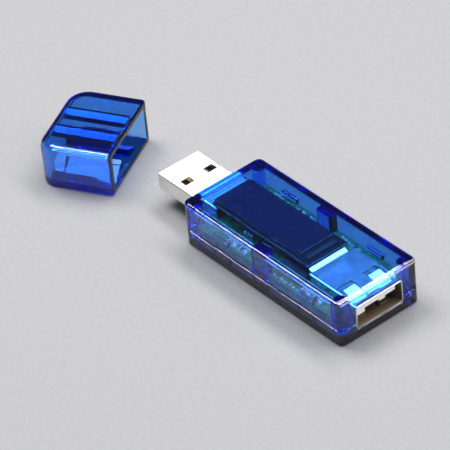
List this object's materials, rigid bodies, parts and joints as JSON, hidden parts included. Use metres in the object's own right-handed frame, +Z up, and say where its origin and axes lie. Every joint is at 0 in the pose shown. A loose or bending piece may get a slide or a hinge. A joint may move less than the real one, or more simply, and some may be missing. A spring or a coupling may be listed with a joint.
{
  "type": "usb power meter",
  "caption": "Pocket power meter in a clear blue casing: plug at one end, socket at the other, a display over a board, and a pull-off cap.",
  "frame": {"origin": "middle of the casing's flat underside", "axes": "+X towards the socket end, with the plug pointing along -X; +Z up through the display; +Y across the casing"},
  "size_m": [0.101, 0.0306, 0.0114],
  "materials": {
    "casing_blue": "clear blue moulded plastic, polished",
    "plated_steel": "bright nickel plated sheet steel",
    "white_plastic": "white moulded plastic",
    "black_plastic": "black moulded plastic",
    "gold_plating": "gold plated copper alloy",
    "green_laminate": "green solder mask on glass laminate",
    "display_navy": "dark polarised display front",
    "display_black": "black backed display glass",
    "black_foam": "black adhesive foam",
    "amber_film": "amber flexible film",
    "chip_black": "black moulding compound",
    "tan_ceramic": "tan ceramic with tinned ends"
  },
  "bodies": {
    "meter": {"top_shell": "casing_blue", "bottom_shell": "casing_blue", "plug_shell": "plated_steel", "socket_shell": "plated_steel", "plug_insulator": "black_plastic", "socket_insulator": "white_plastic", "circuit_board": "green_laminate", "display_backplate": "display_black", "display_driver_chip": "chip_black", "display_front_glass": "display_navy", "display_foam": "black_foam", "display_flex": "amber_film", "controller_chip": "chip_black", "voltage_regulator": "chip_black", "crystal": "plated_steel", "shunt_resistor": "chip_black", "diode": "chip_black", "plug_contact_1": "gold_plating", "socket_contact_1": "gold_plating", "capacitor_1": "tan_ceramic", "resistor_1": "chip_black", "plug_contact_2": "gold_plating", "socket_contact_2": "gold_plating", "capacitor_2": "tan_ceramic", "resistor_2": "chip_black", "plug_contact_3": "gold_plating", "socket_contact_3": "gold_plating", "capacitor_3": "tan_ceramic", "resistor_3": "chip_black", "plug_contact_4": "gold_plating", "socket_contact_4": "gold_plating", "capacitor_4": "tan_ceramic", "resistor_4": "chip_black"},
    "cap": {"cap": "casing_blue"}
  },
  "joints": [
    {"name": "cap_pull", "type": "hinge", "parent": "meter", "child": "cap", "pos_m": [-0.03604, -0.05724, 0], "axis": [0, 0, 1], "range_deg": [-29.35, 0]}
  ]
}
